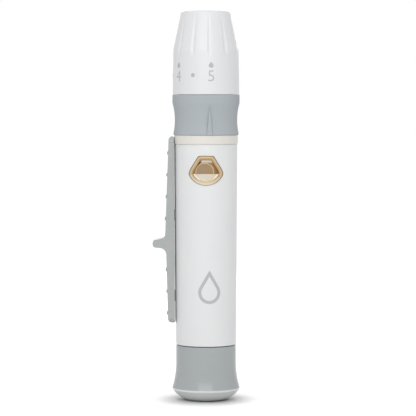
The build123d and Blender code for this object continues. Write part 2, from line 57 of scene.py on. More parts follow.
def fill(tree, node, sockets):
    # each socket gets a value, or a link where it is given an output
    for key, value in sockets.items():
        if isinstance(value, bpy.types.NodeSocket):
            tree.links.new(value, node.inputs[key])
        else:
            node.inputs[key].default_value = value


def addNode(tree, kind, sockets=None, **options):
    node = tree.nodes.new(kind)
    for key, value in options.items():
        setattr(node, key, value)
    fill(tree, node, sockets or {})
    return node


def newMaterial(name):
    material = bpy.data.materials.new(name)
    material.use_nodes = True
    tree = material.node_tree
    return material, tree, tree.nodes["Principled BSDF"]


def mouldedPlastic(name, code, tint, roughness, grain, specular=0.5, coat=0.0):
    # moulded plastic: faint clouding of the colour, about 8 mm wide, and tool grain in gloss and bump
    # the grain is drawn 0.17 mm wide, coarser than a real tool's, so that it shows
    material, tree, shader = newMaterial(name)
    place = addNode(tree, "ShaderNodeTexCoord").outputs["Object"]
    cloud = addNode(tree, "ShaderNodeTexNoise", {"Vector": place, "Scale": 0.12 / mm, "Detail": 3.0})
    fine = addNode(tree, "ShaderNodeTexNoise", {"Vector": place, "Scale": 6.0 / mm, "Detail": 2.0})
    colours = addNode(tree, "ShaderNodeMix", {
        "Factor": cloud.outputs["Fac"], "A": linear(code), "B": linear(tint)}, data_type="RGBA")
    gloss = addNode(tree, "ShaderNodeMapRange", {
        "Value": fine.outputs["Fac"], "To Min": roughness - 0.05, "To Max": roughness + 0.05})
    bump = addNode(tree, "ShaderNodeBump", {
        "Height": fine.outputs["Fac"], "Strength": grain, "Distance": 0.01 * mm})
    fill(tree, shader, {
        "Base Color": colours.outputs["Result"], "Roughness": gloss.outputs["Result"],
        "Normal": bump.outputs["Normal"], "Specular IOR Level": specular,
        "Coat Weight": coat, "Coat Roughness": 0.16})
    return material


def drawnSteel(name, code):
    # drawn spring wire: bright metal with scratches round the coil, drawn 0.4 mm wide so that they show
    material, tree, shader = newMaterial(name)
    place = addNode(tree, "ShaderNodeTexCoord").outputs["Object"]
    stretch = addNode(tree, "ShaderNodeMapping", {"Vector": place, "Scale": (1, 1, 9)})
    scratch = addNode(tree, "ShaderNodeTexNoise", {
        "Vector": stretch.outputs["Vector"], "Scale": 2.5 / mm, "Detail": 4.0})
    gloss = addNode(tree, "ShaderNodeMapRange", {
        "Value": scratch.outputs["Fac"], "To Min": 0.22, "To Max": 0.42})
    fill(tree, shader, {
        "Base Color": linear(code), "Metallic": 1.0, "Roughness": gloss.outputs["Result"]})
    return material


# satin white ABS of the barrel: neutral, soft sheen
whiteBody = mouldedPlastic("whiteBodyAbsMoulded", "E6E6E6", "E2E4E5", 0.42, 0.12)
# the cap is a touch cooler than the barrel and a little smoother
whiteCap = mouldedPlastic("whiteCapAbsMoulded", "E4E5E6", "E1E2E4", 0.34, 0.1)
# cream acetal ring, slightly yellow beside the barrel
creamRing = mouldedPlastic("creamAcetalMoulded", "E4E1DB", "E0DDD5", 0.4, 0.1)
# grey satin ABS: collar, handle and slider come from three tools, so three greys; the collar is bluish
greyCollar = mouldedPlastic("greyCollarAbsSatin", "B3B9BC", "ADB4B7", 0.32, 0.2, 0.0, 0.1)
# painted shade on the pointer's steep flanks: the collar grey darkened so that the pointer stands out of
# the collar
greyFlankShade = mouldedPlastic("greyCollarAbsShade", "8E9599", "969DA1", 0.35, 0.2, 0.3)
# the handle is a hair darker and has more shine on its flare
greyHandle = mouldedPlastic("greyHandleAbsSatin", "ABB0B1", "A5AAAC", 0.3, 0.2, 0.0, 0.7)
# the slider is the warmest of the three, with a plain sheen
greySlider = mouldedPlastic("greySliderAbsSatin", "AFB3B1", "A9ADAC", 0.28, 0.2, 0.35)
# natural acetal of the works inside: a warm off-white against the casing
naturalAcetal = mouldedPlastic("naturalAcetalMoulded", "E0DDD2", "D8D4C6", 0.45, 0.1)
# detent ring: matt and nearly black, the one dark line on the neck
blackRubber = mouldedPlastic("blackRubberMoulded", "1E1E1F", "262627", 0.7, 0.3)
# springs, washer and clip: bright wire with a broken shine
springSteel = drawnSteel("springSteelDrawn", "B9BABB")
# pad print: a flat light grey that sits back from the white
inkGrey = mouldedPlastic("inkGreyPadPrinted", "B3B6B9", "BDC0C2", 0.6, 0.1)


def shadedAmber(name, pale, deep, way, low, high, through=0.12):
    # polished polycarbonate tinted in the mass; its colour carries painted light and shade, pale at the
    # low end of the way given as painted light and browner along it as painted shade, with slow flow marks
    # about 2 mm wide
    material, tree, shader = newMaterial(name)
    place = addNode(tree, "ShaderNodeTexCoord").outputs["Object"]
    along = addNode(tree, "ShaderNodeVectorMath", {0: place, 1: way}, operation="DOT_PRODUCT")
    tint = addNode(tree, "ShaderNodeMapRange", {
        "Value": along.outputs["Value"], "From Min": low * mm, "From Max": high * mm})
    flow = addNode(tree, "ShaderNodeTexNoise", {"Vector": place, "Scale": 0.5 / mm, "Detail": 2.0})
    cloud = addNode(tree, "ShaderNodeMath", {
        0: flow.outputs["Fac"], 1: 0.5, 2: 0.72}, operation="MULTIPLY_ADD")
    share = addNode(tree, "ShaderNodeMath", {
        0: tint.outputs["Result"], 1: cloud.outputs["Value"]}, operation="MULTIPLY")
    colours = addNode(tree, "ShaderNodeMix", {
        "Factor": share.outputs["Value"], "A": linear(pale), "B": linear(deep)}, data_type="RGBA")
    fill(tree, shader, {
        "Base Color": colours.outputs["Result"], "Roughness": 0.1, "IOR": 1.58,
        "Transmission Weight": through})
    return material


# painted light and shade: the rim pales to its foot, the well is browner to one side
upward, across = (0.1, 0, 1), (1, 0, 0)
amberRim = shadedAmber("amberPolycarbonatePolished", "F0E4CC", "D6BC90", upward, 60.3, 62.8)
amberBand = shadedAmber("amberPolycarbonateBevel", "E6D2A8", "C8A268", upward, 60.3, 62.8)
# painted shade for the button's dark edges and its walls
amberEdgeShade = shadedAmber("amberPolycarbonateEdgeShade", "D4C09A", "8A6838", upward, 60.0, 62.6)
amberDeep = shadedAmber("amberPolycarbonateDeep", "A88E6E", "AC8A58", across, -2.5, 3.0)
# painted shade in the wall amber, painted light in the shelf amber
amberGold = shadedAmber("amberPolycarbonateWall", "C09A68", "9C6C30", across, -2.0, 3.0)
amberShelf = shadedAmber("amberPolycarbonateShelf", "E8DFD0", "E4D6B8", across, -2.5, 4.5)
# painted shade where the well ends in its upper corner and no light comes back
amberShade = shadedAmber("amberPolycarbonateShade", "5A2C1A", "482010", across, -2.5, 0.0)
print("materials made")


# mesh helpers, sizes in millimetres

fineTurns = 256


def roundCorners(points, step=0.0):
    # points are (x, z, radius); gives the closed outline with arcs at the corners
    # a step cuts its straight runs finer
    out = []
    for i, (x, z, radius) in enumerate(points):
        here = Vector((x, z))
        before = (Vector(points[i - 1][:2]) - here).normalized()
        after = (Vector(points[(i + 1) % len(points)][:2]) - here).normalized()
        if radius <= 0:
            out.append(here)
            continue
        half = acos(max(-1, min(1, before.dot(after)))) / 2
        reach = radius / tan(half)
        centre = here + (before + after).normalized() * (radius / sin(half))
        start, end = here + before * reach - centre, here + after * reach - centre
        sweep = start.angle_signed(end)
        count = max(3, int(abs(degrees(sweep)) / 9) + 1)
        for n in range(count + 1):
            out.append(centre + Matrix.Rotation(-sweep * n / count, 2) @ start)
    if step <= 0:
        return out
    fine = []
    for a, b in zip(out, out[1:] + out[:1]):
        pieces = max(1, int((b - a).length / step))
        fine += [a.lerp(b, n / pieces) for n in range(pieces)]
    return fine


def toObject(name, bm, materials, sharp=32):
    mesh = bpy.data.meshes.new(name)
    bmesh.ops.recalc_face_normals(bm, faces=bm.faces)
    bm.to_mesh(mesh)
    bm.free()
    mesh.shade_smooth()
    mesh.set_sharp_from_angle(angle=radians(sharp))
    for material in materials:
        mesh.materials.append(material)
    piece = bpy.data.objects.new(name, mesh)
    bpy.context.scene.collection.objects.link(piece)
    return piece


def lathe(name, outline, turns, materials, shape=None, sharp=32):
    # outline is a closed run of (radius, height); shape can pull a point in by angle
    bm = bmesh.new()
    rings = []
    for n in range(turns):
        angle = 2 * pi * n / turns
        ring = []
        for radius, height in outline:
            if shape:
                radius = shape(radius, height, angle)
            ring.append(bm.verts.new((radius * cos(angle) * mm, radius * sin(angle) * mm, height * mm)))
        rings.append(ring)
    count = len(outline)
    for a, b in zip(rings, rings[1:] + rings[:1]):
        for i in range(count):
            j = (i + 1) % count
            bm.faces.new((a[i], b[i], b[j], a[j]))
    bmesh.ops.remove_doubles(bm, verts=bm.verts, dist=1e-7)
    return toObject(name, bm, materials, sharp)


def stand(piece, body, slotName, *replaced):
    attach(piece, body)
    if replaced:
        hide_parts(*replaced)
    return piece


# nose cap with its grip flutes and printed dial

cap = {"bottom": 84.75, "top": 107.65, "shoulder": 96.95, "baseR": 9.2, "shoulderR": 9.0, "noseR": 6.8,
       "boreR": 7.65, "flutes": 12, "fluteR": 0.9, "fluteDepth": 0.1, "fluteTop": 3.2, "fluteFoot": 1.1,
       "plain": 6.0, "pointer": 6.5, "turns": 432, "lip": 0.05, "shoulderRound": 3.0, "noseRound": 0.8,
       "dishR": 4.6, "dish": 0.6, "holeR": 2.2, "face": 1.5, "innerR": 5.5}


def capShape(radius, height, angle):
    # each flute is a straight round cutter laid over the shoulder, so it runs out at both ends
    slope = (cap["shoulderR"] - cap["noseR"]) / (cap["top"] - cap["shoulder"])
    lift = cap["fluteR"] - cap["fluteDepth"]
    high, low = cap["top"] - cap["fluteTop"], cap["shoulder"] - cap["fluteFoot"]
    upper, lower = cap["noseR"] + slope * cap["fluteTop"] + lift, cap["shoulderR"] + lift
    axis = lower + (upper - lower) * (height - low) / (high - low)
    pitch = 2 * pi / cap["flutes"]
    off = (angle - radians(cap["pointer"] - 90) + pitch / 2) % pitch - pitch / 2
    side = axis * sin(off)
    if height < cap["bottom"] + cap["plain"] or abs(side) >= cap["fluteR"]:
        return radius
    return min(radius, axis * cos(off) - sqrt(cap["fluteR"] ** 2 - side ** 2))


capOutline = roundCorners([
    (cap["baseR"], cap["bottom"] - cap["lip"], 0.2),
    (cap["shoulderR"], cap["shoulder"], cap["shoulderRound"]),
    (cap["noseR"], cap["top"], cap["noseRound"]), (cap["dishR"], cap["top"], 0.4),
    (cap["holeR"], cap["top"] - cap["dish"], 0.12), (cap["holeR"], cap["top"] - cap["face"], 0.1),
    (cap["innerR"], cap["top"] - cap["face"], 0.4), (cap["boreR"], cap["shoulder"], 0.6),
    (cap["boreR"], cap["bottom"] - cap["lip"], 0.12)], step=0.35)
capShell = lathe("depthCapShell", capOutline, cap["turns"], [whiteCap], capShape, sharp=38)
stand(capShell, "depth_cap", "white_cap", "depth_cap")
print("cap turned")


# pad print stands a hair off its wall
ink = {"lift": 0.02, "cuts": 9}


def wrapPrint(name, bm, wall, angle, foot, material):
    # bends flat print on to a round wall: x runs round it, y up
    # upright cuts let wide strokes follow the curve
    wide = max(abs(vert.co.x) for vert in bm.verts)
    for n in range(1 - ink["cuts"], ink["cuts"]):
        bmesh.ops.bisect_plane(bm, geom=bm.verts[:] + bm.edges[:] + bm.faces[:],
                               plane_co=(wide * n / ink["cuts"], 0, 0), plane_no=(1, 0, 0))
    for vert in bm.verts:
        height = foot + vert.co.y
        radius = wall(height) + ink["lift"]
        turn = radians(angle - 90) + vert.co.x / radius
        vert.co = Vector((radius * cos(turn), radius * sin(turn), height)) * mm
    return toObject(name, bm, [material])


def capWall(height):
    share = (height - cap["bottom"]) / (cap["shoulder"] - cap["bottom"])
    return cap["baseR"] + (cap["shoulderR"] - cap["baseR"]) * share


def drawText(text, size):
    curve = bpy.data.curves.new("glyph", "FONT")
    curve.body = text
    curve.size = size
    curve.align_x = "CENTER"
    curve.offset = -0.008 * size  # strokes a little thinner than the font's own
    curve.resolution_u = 6
    holder = bpy.data.objects.new("glyph", curve)
    mesh = bpy.data.meshes.new_from_object(holder)
    bm = bmesh.new()
    bm.from_mesh(mesh)
    bpy.data.objects.remove(holder)
    bpy.data.curves.remove(curve)
    bpy.data.meshes.remove(mesh)
    return bm


def drawDrop(height, width, rows=24, columns=10):
    # a plain drop, point up, in rows so that it can bend round the wall
    bm = bmesh.new()
    lines = []
    for n in range(rows + 1):
        turn = pi * (0.02 + 0.96 * n / rows)
        half = width * 0.65 * sin(turn) * sin(turn / 2) ** 1.3
        level = height * (0.5 + 0.5 * cos(turn))
        lines.append([bm.verts.new((half * (2 * k / columns - 1), level, 0)) for k in range(columns + 1)])
    for upper, lower in zip(lines, lines[1:]):
        for k in range(columns):
            bm.faces.new((upper[k], lower[k], lower[k + 1], upper[k + 1]))
    return bm


# numbers evenly round the dial, dots between them, a drop over each that grows with the depth
dial = {"radius": 9.15, "first": 9.0, "step": 64.0, "digits": "54321", "digitFoot": 88.3, "digitSize": 4.4,
        "dropFoot": 92.0, "dropHeight": 1.65, "dropWidth": 1.2, "dotHeight": 90.0, "dotR": 0.55}
for n, digit in enumerate(dial["digits"]):
    angle = dial["first"] - dial["step"] * n
    number = wrapPrint("dialNumber" + digit, drawText(digit, dial["digitSize"]), capWall, angle,
                       dial["digitFoot"], inkGrey)
    wide = dial["dropWidth"] * (0.7 + 0.1 * int(digit))
    drop = wrapPrint("dialDrop" + digit, drawDrop(dial["dropHeight"], wide), capWall, angle,
                     dial["dropFoot"], inkGrey)
    for piece in (number, drop):
        stand(piece, "depth_cap", "white_cap")
print("dial printed")


# Geometry Nodes for what repeats

def newTree(name, inputs):
    tree = bpy.data.node_groups.new(name, "GeometryNodeTree")
    for label, kind, value in inputs:
        socket = tree.interface.new_socket(label, in_out="INPUT", socket_type=kind)
        socket.default_value = value
    tree.interface.new_socket("Geometry", in_out="OUTPUT", socket_type="NodeSocketGeometry")
    return tree, tree.nodes.new("NodeGroupInput"), tree.nodes.new("NodeGroupOutput")


def fromTree(name, tree, sharp=32):
    # runs the tree once and keeps the plain mesh
    holder = bpy.data.objects.new(name + "Tree", bpy.data.meshes.new(name + "Tree"))
    bpy.context.scene.collection.objects.link(holder)
    holder.modifiers.new("tree", "NODES").node_group = tree
    graph = bpy.context.evaluated_depsgraph_get()
    mesh = bpy.data.meshes.new_from_object(holder.evaluated_get(graph))
    mesh.name = name
    mesh.shade_smooth()
    mesh.set_sharp_from_angle(angle=radians(sharp))
    bpy.data.objects.remove(holder)
    piece = bpy.data.objects.new(name, mesh)
    bpy.context.scene.collection.objects.link(piece)
    return piece


def paintReal(tree, instances, material, result):
    # every tree ends in real faces with their material
    real = addNode(tree, "GeometryNodeRealizeInstances", {"Geometry": instances})
    paint = addNode(tree, "GeometryNodeSetMaterial", {
        "Geometry": real.outputs["Geometry"], "Material": material})
    fill(tree, result, {"Geometry": paint.outputs["Geometry"]})


def dotTree(name, material):
    # flat round dots on an arc, each facing out from the axis
    tree, given, result = newTree(name, [
        ("Count", "NodeSocketInt", len(dial["digits"]) - 1),
        ("Dial Radius", "NodeSocketFloat", dial["radius"] * mm),
        ("Height", "NodeSocketFloat", dial["dotHeight"] * mm),
        ("Dot Radius", "NodeSocketFloat", dial["dotR"] * mm),
        ("Start", "NodeSocketFloat", radians(dial["first"] - 90 - dial["step"] / 2)),
        ("Sweep", "NodeSocketFloat", radians(-(len(dial["digits"]) - 2) * dial["step"]))])
    arc = addNode(tree, "GeometryNodeCurveArc", {
        "Resolution": given.outputs["Count"], "Radius": given.outputs["Dial Radius"],
        "Start Angle": given.outputs["Start"], "Sweep Angle": given.outputs["Sweep"]})
    points = addNode(tree, "GeometryNodeCurveToPoints", {"Curve": arc.outputs["Curve"]}, mode="EVALUATED")
    place = addNode(tree, "GeometryNodeInputPosition")
    face = addNode(tree, "FunctionNodeAlignRotationToVector", {
        "Vector": place.outputs["Position"]}, axis="Z")
    disc = addNode(tree, "GeometryNodeMeshCircle", {
        "Vertices": 24, "Radius": given.outputs["Dot Radius"]}, fill_type="NGON")
    spread = addNode(tree, "GeometryNodeInstanceOnPoints", {
        "Points": points.outputs["Points"], "Instance": disc.outputs["Mesh"],
        "Rotation": face.outputs["Rotation"]})
    offset = addNode(tree, "ShaderNodeCombineXYZ", {"Z": given.outputs["Height"]})
    lift = addNode(tree, "GeometryNodeTransform", {
        "Geometry": spread.outputs["Instances"], "Translation": offset.outputs["Vector"]})
    paintReal(tree, lift.outputs["Geometry"], material, result)
    return tree


stand(fromTree("dialDots", dotTree("dialDotTree", inkGrey)), "depth_cap", "white_cap")
print("dots placed")


# collar with its raised pointer

collar = {"bottom": 73.55, "top": 84.65, "footR": 9.0, "waistR": 8.62, "rimR": 9.27, "lip": 0.5,
          "waist": 4.6, "rim": 2.3, "boreR": 7.05, "spigotR": 7.5, "spigotBore": 6.4, "spigotTop": 91.65,
          "ledge": 81.15, "pointerR": 9.2, "pointerWidth": 1.9, "pointerHeight": 8.5, "pointer": 6.5,
          "pointerLift": 0.1, "pointerSunk": 0.06, "pointerTip": 0.03, "slices": 28, "pointerSlices": 40}


def arcThrough(a, b, c, count):
    # points on the circle through three points, from a to c
    (ax, ay), (bx, by), (cx, cy) = a, b, c
    d = 2 * (ax * (by - cy) + bx * (cy - ay) + cx * (ay - by))
    sa, sb, sc = ax * ax + ay * ay, bx * bx + by * by, cx * cx + cy * cy
    ux = (sa * (by - cy) + sb * (cy - ay) + sc * (ay - by)) / d
    uy = (sa * (cx - bx) + sb * (ax - cx) + sc * (bx - ax)) / d
    start, end = atan2(ay - uy, ax - ux), atan2(cy - uy, cx - ux)
    turn = (end - start + pi) % (2 * pi) - pi
    radius = sqrt((ax - ux) ** 2 + (ay - uy) ** 2)
    return [(ux + radius * cos(start + turn * n / count), uy + radius * sin(start + turn * n / count))
            for n in range(count + 1)]


waistArc = arcThrough((collar["footR"], collar["bottom"] + collar["lip"]),
                      (collar["waistR"], collar["bottom"] + collar["waist"]),
                      (collar["rimR"], collar["top"] - collar["rim"]), collar["slices"])
collarOutline = roundCorners(
    [(collar["boreR"], collar["bottom"], 0.15), (collar["footR"], collar["bottom"], 0.25)]
    + [(x, z, 0) for x, z in waistArc]
    + [(collar["rimR"], collar["top"], 0.25), (collar["spigotR"], collar["top"], 0.1),
       (collar["spigotR"], collar["spigotTop"], 0.2), (collar["spigotBore"], collar["spigotTop"], 0.2),
       (collar["spigotBore"], collar["ledge"], 0.1), (collar["boreR"], collar["ledge"], 0.1)])
collarShell = lathe("collarShell", collarOutline, fineTurns, [greyCollar], sharp=40)
stand(collarShell, "collar", "grey_collar", "collar")


def collarRadius(height):
    if height <= waistArc[0][1]:
        return collar["footR"]
    for (ra, za), (rb, zb) in zip(waistArc, waistArc[1:]):
        if za <= height <= zb:
            return ra + (rb - ra) * (height - za) / (zb - za)
    return collar["rimR"]


def raisedPointer():
    # a flat-topped wedge with soft edges, drawn in slices from its foot to its tip
    bm = bmesh.new()
    rows = []
    slices = collar["pointerSlices"]
    flank = [(1.0, 0.0), (0.93, 0.6), (0.84, 0.92), (0.7, 1.0)]
    profile = [(-across, rise) for across, rise in flank] + flank[::-1]
    for n in range(slices + 1):
        up = collar["pointerHeight"] * n / slices
        half = max(collar["pointerTip"], collar["pointerWidth"] / 2 * (1 - n / slices))
        base = collarRadius(collar["bottom"] + up) - collar["pointerSunk"]
        height = collar["bottom"] + collar["pointerLift"] + up
        row = []
        for across, rise in profile:
            radius = base + (collar["pointerR"] - base) * rise
            turn = radians(collar["pointer"] - 90) + across * half / collar["pointerR"]
            row.append(bm.verts.new(Vector((radius * cos(turn), radius * sin(turn), height)) * mm))
        rows.append(row)
    for a, b in zip(rows, rows[1:]):
        for i in range(len(profile) - 1):
            face = bm.faces.new((a[i], a[i + 1], b[i + 1], b[i]))
            # the flank faces take the darker grey as painted shade
            face.material_index = int(i in (0, 1, len(profile) - 3, len(profile) - 2))
    bm.faces.new(rows[0])
    bm.faces.new(rows[-1])
    for a, b in zip(rows, rows[1:]):
        bm.faces.new((a[0], b[0], b[-1], a[-1]))
    return toObject("collarPointer", bm, [greyCollar, greyFlankShade], sharp=50)


stand(raisedPointer(), "collar", "grey_collar")
print("collar turned")


# neck sleeve with the cream ring

neck = {"tail": 69.05, "barrelTop": 71.05, "ringTop": 73.55, "top": 80.85, "ringR": 8.83, "neckR": 7.0,
        "boreR": 5.85, "tailR": 7.2, "detentLow": 76.15, "detentHigh": 77.35, "detentR": 6.5,
        "turns": 192}
neckOutline = roundCorners([
    (neck["boreR"], neck["tail"], 0.1), (neck["tailR"], neck["tail"], 0.1),
    (neck["tailR"], neck["barrelTop"], 0),
    (neck["ringR"], neck["barrelTop"], 0.25), (neck["ringR"], neck["ringTop"], 0.25),
    (neck["neckR"], neck["ringTop"], 0), (neck["neckR"], neck["detentLow"], 0.05),
    (neck["detentR"], neck["detentLow"], 0.05), (neck["detentR"], neck["detentHigh"], 0.05),
    (neck["neckR"], neck["detentHigh"], 0.05), (neck["neckR"], neck["top"], 0.25),
    (neck["boreR"], neck["top"], 0.2)])
stand(lathe("neckSleeve", neckOutline, neck["turns"], [creamRing]), "body", "cream_ring", "neck_sleeve")
print("neck sleeve turned")


# trigger outline, shared by the barrel's window and the button

trigger = {"z": 63.9, "topHalf": 2.1, "wideHalf": 4.95, "top": 4.07, "wide": -0.6, "bottom": -4.07,
           "faceR": 8.97, "backY": -5.55, "ledge": -0.85, "points": 160, "sideSharp": 12, "topSharp": 26}


def softMinimum(reaches, power):
    # the higher the power, the smaller the corner's round
    return sum(r ** -power for r in reaches) ** (-1 / power)


def triggerReach(angle, inset):
    # distance from the button's middle to its outline
    ux, uz = cos(angle), sin(angle)
    rise, run = trigger["top"] - trigger["wide"], trigger["wideHalf"] - trigger["topHalf"]
    slope = Vector((rise, run)).normalized()
    drop = trigger["wide"] - trigger["bottom"]
    radius = (trigger["wideHalf"] ** 2 + drop ** 2) / (2 * drop)
    middle = trigger["bottom"] + radius
    along = uz * middle
    sides = [along + sqrt(along ** 2 - middle ** 2 + (radius - inset) ** 2)]
    for side in (-1, 1):
        facing = side * slope.x * ux + slope.y * uz
        if facing > 0.02:
            sides.append((slope.x * trigger["wideHalf"] + slope.y * trigger["wide"] - inset) / facing)
    reach = softMinimum(sides, trigger["sideSharp"])
    if uz <= 0.02:
        return reach
    return softMinimum([reach, (trigger["top"] - inset) / uz], trigger["topSharp"])


def triggerLoop(inset, share=1.0):
    out = []
    for n in range(trigger["points"]):
        angle = 2 * pi * n / trigger["points"]
        reach = triggerReach(angle, inset) * share
        out.append((reach * cos(angle), reach * sin(angle)))
    return out


# barrel: tapered tube with the trigger's window and the slider's two slots

barrel = {"bottom": 15.55, "top": 71.05, "rearR": 8.35, "frontR": 8.65, "boreR": 7.2,
          "windowGap": 0.03, "windowCut": (-12, -3), "slotCut": (-10, -6),
          "slotHalf": 1.2, "slots": ((49.65, 60.55), (27.25, 37.85)),
          "railProud": 0.15, "railRoot": 7.8, "railY": (1.35, 2.15), "railLow": 21.55}


def boxMesh(bm, low, high):
    made = bmesh.ops.create_cube(bm, size=1.0)
    size = Matrix.Diagonal([(b - a) * mm for a, b in zip(low, high)] + [1])
    middle = Vector([(a + b) / 2 * mm for a, b in zip(low, high)])
    bmesh.ops.transform(bm, verts=made["verts"], matrix=Matrix.Translation(middle) @ size)


def prism(bm, loop, span):
    # a flat loop of (x, z) drawn out along y
    near = [bm.verts.new((x * mm, span[0] * mm, z * mm)) for x, z in loop]
    far = [bm.verts.new((x * mm, span[1] * mm, z * mm)) for x, z in loop]
    caps = [bm.faces.new(near), bm.faces.new(far)]
    for i in range(len(loop)):
        j = (i + 1) % len(loop)
        bm.faces.new((near[i], near[j], far[j], far[i]))
    return caps


def barrelCutters():
    # the button's window and the two slots, as one cutter
    bm = bmesh.new()
    window = triggerLoop(-barrel["windowGap"])
    prism(bm, [(x, trigger["z"] + z) for x, z in window], barrel["windowCut"])
    outside, within = barrel["slotCut"]
    for low, high in barrel["slots"]:
        boxMesh(bm, (outside, -barrel["slotHalf"], low), (within, barrel["slotHalf"], high))
    return toObject("barrelCutters", bm, [])


def barrelRail():
    # the rail that the slider runs on, beside the slots
    share = (barrel["railLow"] - barrel["bottom"]) / (barrel["top"] - barrel["bottom"])
    lowX = barrel["rearR"] + (barrel["frontR"] - barrel["rearR"]) * share + barrel["railProud"]
    highX = barrel["frontR"] + barrel["railProud"]
    bm = bmesh.new()
    prism(bm, [(-barrel["railRoot"], barrel["railLow"]), (-lowX, barrel["railLow"]),
               (-highX, barrel["top"]), (-barrel["railRoot"], barrel["top"])], barrel["railY"])
    return toObject("barrelRail", bm, [whiteBody])


def carve(piece, cutter, operation, sharp=32):
    boolean = piece.modifiers.new("cut", "BOOLEAN")
    boolean.object = cutter
    boolean.operation = operation
    boolean.solver = "EXACT"
    graph = bpy.context.evaluated_depsgraph_get()
    mesh = bpy.data.meshes.new_from_object(piece.evaluated_get(graph))
    piece.modifiers.clear()
    piece.data = mesh
    mesh.shade_smooth()
    mesh.set_sharp_from_angle(angle=radians(sharp))
    bpy.data.objects.remove(cutter)
    return piece


barrelOutline = roundCorners([
    (barrel["boreR"], barrel["bottom"], 0.1), (barrel["rearR"], barrel["bottom"], 0.25),
    (barrel["frontR"], barrel["top"], 0.25), (barrel["boreR"], barrel["top"], 0.1)])
barrelShell = lathe("barrelShell", barrelOutline, fineTurns, [whiteBody])
carve(barrelShell, barrelRail(), "UNION")
carve(barrelShell, barrelCutters(), "DIFFERENCE")
stand(barrelShell, "body", "white_body", "barrel")
print("barrel cut")


# cocking handle

handle = {"top": 15.35, "neckR": 8.3, "flare": 10.6, "rimR": 9.4, "rimZ": 3.3, "footR": 3.9, "dome": 0.85,
          "innerR": 6.9, "floor": 2.4, "bossR": 5.6, "tubeR": 4.2, "slices": 40, "rimTrim": 2,
          "rimSlices": 12, "paintedLightTop": 5.0}


def sagArc(a, b, sag, count):
    # an arc from a to b that bulges to the right of its way, or to the left where the sag is negative
    across = Vector((b[0] - a[0], b[1] - a[1]))
    side = Vector((across.y, -across.x)).normalized()
    middle = (Vector(a) + Vector(b)) / 2 + side * sag
    return arcThrough(a, tuple(middle), b, count)


def flareArc(count):
    # hollow curve from the neck to the rim, upright where it leaves the neck
    rise, reach = handle["flare"] - handle["rimZ"], handle["rimR"] - handle["neckR"]
    radius = (rise ** 2 + reach ** 2) / (2 * reach)
    end = acos((radius - reach) / radius)
    turns = [end * n / count for n in range(count + 1)]
    return [(handle["neckR"] + radius * (1 - cos(t)), handle["flare"] - radius * sin(t)) for t in turns]


def handleSide():
    # flare and dome, with the rim between them rounded off by a curve that the corner pulls
    rim, trim = (handle["rimR"], handle["rimZ"]), handle["rimTrim"]
    flareRun = flareArc(handle["slices"])
    domeRun = sagArc(rim, (handle["footR"], 0), -handle["dome"], handle["slices"])
    ends = list(zip(flareRun[-trim], rim, domeRun[trim]))
    rimRun = []
    for n in range(handle["rimSlices"] + 1):
        t = n / handle["rimSlices"]
        rimRun.append([(1 - t) ** 2 * a + 2 * t * (1 - t) * b + t * t * c for a, b, c in ends])
    return flareRun[:-trim] + rimRun + domeRun[trim + 1:]


handleOutline = roundCorners(
    [(x, z, 0) for x, z in handleSide()]
    + [(0, 0, 0), (0, handle["floor"], 0), (handle["tubeR"], handle["floor"], 0),
       (handle["tubeR"], handle["flare"], 0.1), (handle["bossR"], handle["flare"], 0.1),
       (handle["bossR"], handle["floor"], 0), (handle["innerR"], handle["floor"], 0.3),
       (handle["innerR"], handle["top"], 0.1), (handle["neckR"], handle["top"], 0.25)])
handleShell = lathe("handleShell", handleOutline, fineTurns, [greyHandle], sharp=40)
stand(handleShell, "handle", "grey_handle", "handle")
print("handle turned")


def paintRimLight():
    # painted highlight: the rim's moulded edge gets a light line, and painted light makes the dome below
    # it look paler
    tree = greyHandle.node_tree
    shader = tree.nodes["Principled BSDF"]
    base = shader.inputs["Base Color"].links[0].from_socket
    place = addNode(tree, "ShaderNodeTexCoord")
    split = addNode(tree, "ShaderNodeSeparateXYZ", {"Vector": place.outputs["Object"]})
    ramp = addNode(tree, "ShaderNodeMapRange", {
        "Value": split.outputs["Z"], "From Max": handle["paintedLightTop"] * mm})
    curve = addNode(tree, "ShaderNodeValToRGB", {"Fac": ramp.outputs["Result"]})
    # painted light on the dome, then the painted highlight line at the rim
    stops = ((0.0, 0.1), (0.3, 0.4), (0.58, 0.4), (0.63, 0.9), (0.67, 0.9), (0.72, 0.0))
    while len(curve.color_ramp.elements) < len(stops):
        curve.color_ramp.elements.new(0.5)
    for element, (spot, level) in zip(curve.color_ramp.elements, stops):
        element.position = spot
        element.color = (level, level, level, 1)
    paler = addNode(tree, "ShaderNodeMix", {
        "Factor": curve.outputs["Color"], "A": base, "B": linear("EEEFEB")}, data_type="RGBA")
    fill(tree, shader, {"Base Color": paler.outputs["Result"]})


paintRimLight()


# ejector slider

slider = {"bottom": 21.55, "top": 73.2, "innerX": 8.9, "innerLowX": 8.64,
          "grooveZ": 66.25, "grooveDepth": 0.25, "grooveHalf": 1.9,
          "topX": 10.3, "midX": 11.3, "lowerX": 11.0, "footX": 10.5,
          "tabX": 14.75, "tabLow": 42.25, "tabHigh": 45.25, "tipLow": 42.5, "tipHigh": 44.4,
          "half": 2.4, "round": 0.6, "corner": 1.4, "spare": 0.01, "blankX": 20.0, "barR": 0.6,
          "barProud": 0.32,
          "topRound": 1.1, "upperFillet": 1.0, "tipRound": 0.9, "lowerFillet": 2.0, "footRound": 1.2,
          "stems": ((4.85, 49.95), (6.45, 27.55)), "stemHalf": 0.9, "stemHeight": 3.0, "stemSunk": 0.3,
          "barsBelow": (24.25, 36.35, 3), "barsAbove": (50.45, 68.6, 4)}


def sliderFace(height):
    # how far out the sloping outer face stands, below and above the tab
    if height < slider["tabLow"]:
        share = (height - slider["bottom"]) / (slider["tabLow"] - slider["bottom"])
        return slider["footX"] + (slider["lowerX"] - slider["footX"]) * share
    share = (height - slider["tabHigh"]) / (slider["top"] - slider["tabHigh"])
    return slider["midX"] + (slider["topX"] - slider["midX"]) * share


